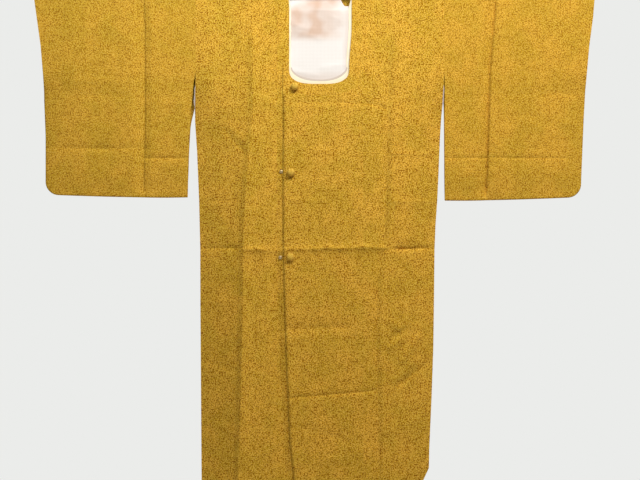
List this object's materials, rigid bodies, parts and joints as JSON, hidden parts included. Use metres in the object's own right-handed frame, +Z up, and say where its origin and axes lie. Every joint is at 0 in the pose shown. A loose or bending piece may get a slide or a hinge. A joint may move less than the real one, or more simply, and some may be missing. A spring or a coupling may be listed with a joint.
{
  "type": "michiyuki kimono overcoat on a hanging rod with hook",
  "caption": "Long kimono overcoat of mustard crepe, hung flat with spread sleeves on a wooden rod with a wire hook; collar band, lapped front, covered ball buttons.",
  "frame": {"origin": "the point inside the hook's bend that bears on its peg", "axes": "+Z up, +Y towards the coat's back, +X towards the wearer's left"},
  "size_m": [1.42, 0.064, 1.268],
  "materials": {
    "crepe": "mustard silk crepe with small dark brown and light flecks, matt to soft sheen",
    "band_crepe": "the same crepe, folded double",
    "lining": "pale cream lining silk, soft sheen",
    "facing": "cream plain-weave facing",
    "stud_steel": "dull silvered press stud",
    "rod_wood": "waxed beech",
    "hook_wire": "bright plated wire"
  },
  "bodies": {
    "root": {"body_right": "crepe", "body_left": "crepe", "sleeve_right": "crepe", "sleeve_left": "crepe", "overlap_left": "crepe", "overlap_right": "crepe", "collar_band": "band_crepe", "neck_facing": "facing", "lining_back": "lining", "lining_side_right": "lining", "lining_side_left": "lining", "button_1": "band_crepe", "button_2": "band_crepe", "button_3": "band_crepe", "stud_1": "stud_steel", "stud_2": "stud_steel", "rod": "rod_wood", "hook": "hook_wire"}
  },
  "joints": []
}
